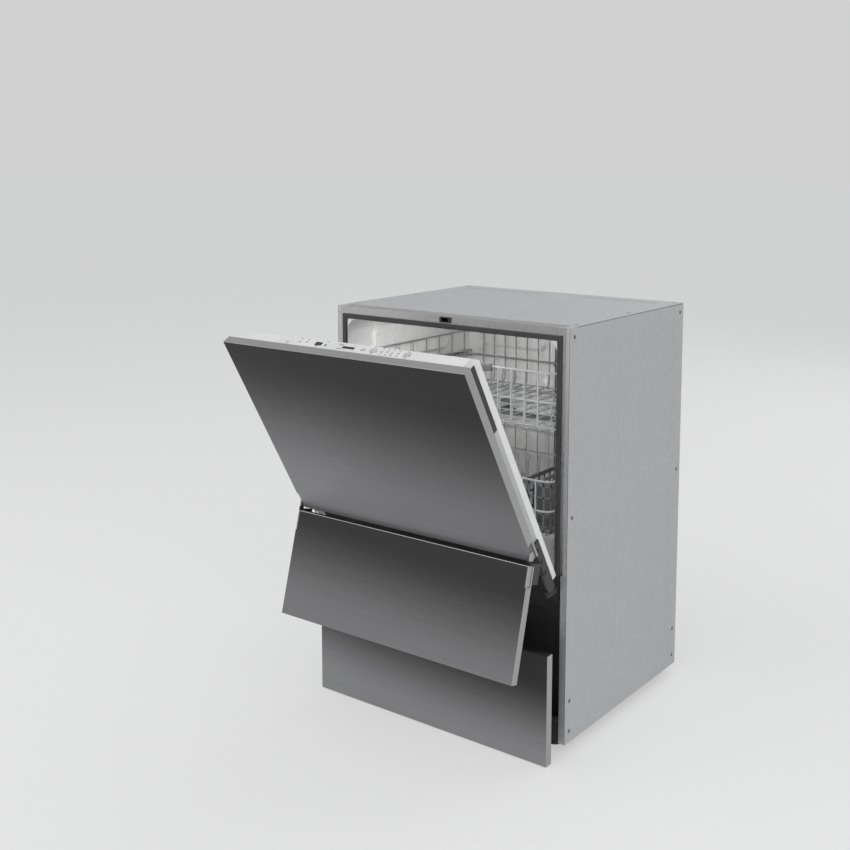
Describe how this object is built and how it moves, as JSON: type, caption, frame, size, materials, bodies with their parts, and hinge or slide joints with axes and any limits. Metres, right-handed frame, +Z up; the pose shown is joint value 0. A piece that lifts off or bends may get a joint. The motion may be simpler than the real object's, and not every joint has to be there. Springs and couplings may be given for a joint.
{
  "type": "built-in dishwasher",
  "caption": "Built-in dishwasher with a tilting steel door, a swing panel below it, a fixed bottom panel, a stainless tub, sliding wire racks and spray arms.",
  "frame": {"origin": "centre of the footprint on the floor, at rest with the door partly open", "axes": "+X to the right seen from the front, +Y into the machine, +Z up"},
  "size_m": [0.598, 0.8522, 0.8722],
  "materials": {
    "front_steel": "fine brushed",
    "board": "sealed board",
    "tub_steel": "bright rolled",
    "casing": "galvanised",
    "dark_plastic": "matt",
    "fascia_plastic": "satin",
    "button_plastic": "satin",
    "display_glass": "polished",
    "gasket_rubber": "matt",
    "latch_metal": "zinc plated",
    "rail_steel": "satin",
    "coated_wire": "nylon coated",
    "grey_plastic": "satin"
  },
  "bodies": {
    "cabinet": {"side_panel_left": "casing", "side_panel_right": "casing", "rear_panel": "casing", "top_cover": "casing", "top_front_rail": "casing", "door_sill": "casing", "hinge_brackets": "casing", "fixed_panel_brackets": "casing", "base_tray": "dark_plastic", "levelling_feet": "dark_plastic", "latch_catch": "dark_plastic", "circulation_pump": "dark_plastic", "drain_pump": "dark_plastic", "inlet_valve": "dark_plastic", "sump": "dark_plastic", "tub_side_left": "tub_steel", "tub_side_right": "tub_steel", "tub_ceiling": "tub_steel", "tub_back_wall": "tub_steel", "tub_floor": "tub_steel", "tub_gasket": "gasket_rubber", "upper_rails": "rail_steel", "feed_pipe": "rail_steel", "fixed_panel_skin": "front_steel", "fixed_panel_core": "board"},
    "door": {"door_shell": "casing", "door_liner": "tub_steel", "control_housing": "dark_plastic", "control_fascia": "fascia_plastic", "display_window": "display_glass", "latch_tongue": "latch_metal", "hinge_arms": "casing", "dispenser_body": "fascia_plastic", "upper_panel_core": "board", "upper_panel_skin": "front_steel"},
    "swing_panel": {"swing_panel_skin": "front_steel", "swing_panel_core": "board", "swing_arms": "casing"},
    "power_key": {"power_button": "button_plastic"},
    "program_key": {"program_button": "button_plastic"},
    "option_key": {"option_button": "button_plastic"},
    "start_key": {"start_button": "button_plastic"},
    "detergent_lid": {"dispenser_lid": "fascia_plastic"},
    "upper_rack": {"upper_rack_floor": "coated_wire", "upper_rack_front": "coated_wire", "upper_rack_back": "coated_wire", "upper_rack_left": "coated_wire", "upper_rack_right": "coated_wire"},
    "upper_spray": {"upper_spray_arm": "grey_plastic"},
    "lower_rack": {"lower_rack_floor": "coated_wire", "lower_rack_front": "coated_wire", "lower_rack_back": "coated_wire", "lower_rack_left": "coated_wire", "lower_rack_right": "coated_wire"},
    "front_wheels": {"lower_wheels_front": "grey_plastic"},
    "rear_wheels": {"lower_wheels_rear": "grey_plastic"},
    "tine_row": {"lower_tines": "coated_wire"},
    "basket": {"cutlery_basket": "grey_plastic"},
    "lower_spray": {"lower_spray_arm": "grey_plastic"},
    "filter": {"filter_cup": "grey_plastic"}
  },
  "joints": [
    {"name": "door_hinge", "type": "hinge", "parent": "cabinet", "child": "door", "pos_m": [0, -0.119, 0.35], "axis": [1, 0, 0], "range_deg": [-30, 60]},
    {"name": "swing_hinge", "type": "hinge", "parent": "door", "child": "swing_panel", "pos_m": [0, -0.20325, 0.45493], "axis": [1, 0, 0], "range_deg": [-90, 45]},
    {"name": "power_press", "type": "slide", "parent": "door", "child": "power_key", "axis": [0, 0.5, -0.866], "range_m": [0, 0.0015], "stiffness_N_per_m": 400, "springref_m": -0.001},
    {"name": "program_press", "type": "slide", "parent": "door", "child": "program_key", "axis": [0, 0.5, -0.866], "range_m": [0, 0.0015], "stiffness_N_per_m": 400, "springref_m": -0.001},
    {"name": "option_press", "type": "slide", "parent": "door", "child": "option_key", "axis": [0, 0.5, -0.866], "range_m": [0, 0.0015], "stiffness_N_per_m": 400, "springref_m": -0.001},
    {"name": "start_press", "type": "slide", "parent": "door", "child": "start_key", "axis": [0, 0.5, -0.866], "range_m": [0, 0.0015], "stiffness_N_per_m": 400, "springref_m": -0.001},
    {"name": "lid_hinge", "type": "hinge", "parent": "door", "child": "detergent_lid", "pos_m": [-0.025, -0.19808, 0.57916], "axis": [-1, 0, 0], "range_deg": [0, 95]},
    {"name": "upper_rack_slide", "type": "slide", "parent": "cabinet", "child": "upper_rack", "axis": [0, -1, 0], "range_m": [0, 0.165]},
    {"name": "upper_spray_turn", "type": "hinge", "parent": "upper_rack", "child": "upper_spray", "pos_m": [0, 0.157, 0.63], "axis": [0, 0, 1], "continuous": true},
    {"name": "lower_rack_slide", "type": "slide", "parent": "cabinet", "child": "lower_rack", "axis": [0, -1, 0], "range_m": [0, 0.05]},
    {"name": "front_wheels_roll", "type": "hinge", "parent": "lower_rack", "child": "front_wheels", "pos_m": [0, -0.004, 0.3903], "axis": [1, 0, 0], "range_deg": [-5, 190]},
    {"name": "rear_wheels_roll", "type": "hinge", "parent": "lower_rack", "child": "rear_wheels", "pos_m": [0, 0.306, 0.3903], "axis": [1, 0, 0], "range_deg": [-5, 190]},
    {"name": "tine_fold", "type": "hinge", "parent": "lower_rack", "child": "tine_row", "pos_m": [-0.055, 0.156, 0.4273], "axis": [-1, 0, 0], "range_deg": [0, 80]},
    {"name": "basket_lift", "type": "slide", "parent": "lower_rack", "child": "basket", "axis": [0, 0, 1], "range_m": [0, 0.08]},
    {"name": "lower_spray_turn", "type": "hinge", "parent": "cabinet", "child": "lower_spray", "pos_m": [0, 0.157, 0.4], "axis": [0, 0, 1], "continuous": true},
    {"name": "filter_twist", "type": "hinge", "parent": "cabinet", "child": "filter", "pos_m": [0.043, 0.157, 0.374], "axis": [0, 0, 1], "range_deg": [0, 90]}
  ],
  "couplings": [
    {"joint": "swing_hinge", "follows": "door_hinge", "ratio": -1.5},
    {"joint": "front_wheels_roll", "follows": "lower_rack_slide", "rad_per_m": 62.5},
    {"joint": "rear_wheels_roll", "follows": "lower_rack_slide", "rad_per_m": 62.5}
  ]
}
